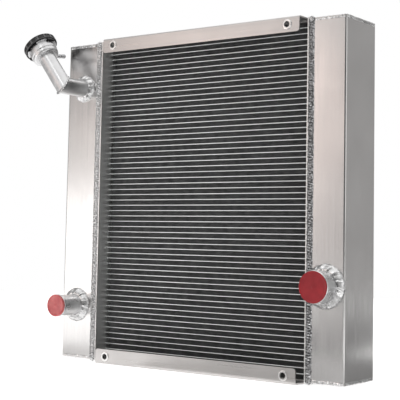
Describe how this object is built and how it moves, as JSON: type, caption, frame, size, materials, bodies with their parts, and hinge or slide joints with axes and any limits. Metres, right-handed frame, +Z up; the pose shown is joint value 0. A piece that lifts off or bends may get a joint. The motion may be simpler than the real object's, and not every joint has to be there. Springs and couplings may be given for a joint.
{
  "type": "hydraulic oil cooler",
  "caption": "Welded aluminium cross-flow cooler: tube-and-fin core, two side tanks, mitred filler with pressure cap, two hose stubs with plugs, top and bottom bolt-on channels.",
  "frame": {"origin": "middle of the bottom bracket underside, on which the cooler rests", "axes": "+X to the right of the cooler seen from its front, +Y to the back, +Z up"},
  "size_m": [0.6646, 0.203, 0.6188],
  "materials": {
    "brushed_aluminium": "satin rolled sheet with a fine vertical grain",
    "core_aluminium": "dull brazed tube",
    "fin_black": "dark thin fin, matt",
    "bracket_aluminium": "satin folded sheet",
    "weld_metal": "bright rippled weld bead",
    "polished_aluminium": "polished tube",
    "dark_steel": "blackened steel",
    "zinc_steel": "zinc plated",
    "black_plastic": "moulded, slightly glossy on its ribs",
    "valve_brass": "pressed brass",
    "seal_rubber": "smooth rubber",
    "red_plastic": "soft translucent red shipping plug"
  },
  "bodies": {
    "cooler": {"core_tubes_front": "core_aluminium", "core_tubes_rear": "core_aluminium", "fin_strips": "fin_black", "core_side_plate_top": "brushed_aluminium", "core_side_plate_bottom": "brushed_aluminium", "left_header_plate": "brushed_aluminium", "right_header_plate": "brushed_aluminium", "left_tank_shell": "brushed_aluminium", "right_tank_shell": "brushed_aluminium", "left_tank_top_cap": "brushed_aluminium", "left_tank_bottom_cap": "brushed_aluminium", "right_tank_top_cap": "brushed_aluminium", "right_tank_bottom_cap": "brushed_aluminium", "left_seam_welds": "weld_metal", "right_seam_welds": "weld_metal", "left_end_welds": "weld_metal", "right_end_welds": "weld_metal", "top_bracket": "bracket_aluminium", "bottom_bracket": "bracket_aluminium", "bolt_eyelets": "zinc_steel", "bracket_welds": "weld_metal", "right_hose_stub": "polished_aluminium", "left_hose_stub": "polished_aluminium", "right_stub_weld": "weld_metal", "left_stub_weld": "weld_metal", "filler_lower_leg": "polished_aluminium", "filler_upper_leg": "polished_aluminium", "filler_base_weld": "weld_metal", "filler_mitre_weld": "weld_metal", "filler_neck": "polished_aluminium", "overflow_nipple": "zinc_steel"},
    "filler_cap": {"cap_cover": "black_plastic", "cap_shell": "dark_steel", "cap_gasket": "seal_rubber", "cap_guide": "dark_steel", "cap_rivet": "zinc_steel", "pressure_spring": "zinc_steel"},
    "pressure_valve": {"pressure_valve": "valve_brass", "pressure_seal": "seal_rubber", "vacuum_spring": "zinc_steel"},
    "vacuum_valve": {"vacuum_valve": "valve_brass"},
    "right_plug": {"right_plug": "red_plastic"},
    "left_plug": {"left_plug": "red_plastic"}
  },
  "joints": [
    {"name": "cap_turn", "type": "hinge", "parent": "cooler", "child": "filler_cap", "pos_m": [-0.271, -0.11, 0.51625], "axis": [-0.6225, 0, 0.7826], "range_deg": [0, 90]},
    {"name": "pressure_valve_lift", "type": "slide", "parent": "filler_cap", "child": "pressure_valve", "axis": [-0.6225, 0, 0.7826], "range_m": [0, 0.003], "stiffness_N_per_m": 8000, "springref_m": -0.0103, "deforming": ["pressure_spring"]},
    {"name": "vacuum_valve_drop", "type": "slide", "parent": "pressure_valve", "child": "vacuum_valve", "axis": [0.6225, 0, -0.7826], "range_m": [0, 0.002], "stiffness_N_per_m": 300, "springref_m": -0.002, "deforming": ["vacuum_spring"]},
    {"name": "right_plug_pull", "type": "slide", "parent": "cooler", "child": "right_plug", "axis": [0, -1, 0], "range_m": [0, 0.05]},
    {"name": "left_plug_pull", "type": "slide", "parent": "cooler", "child": "left_plug", "axis": [0, -1, 0], "range_m": [0, 0.05]}
  ]
}
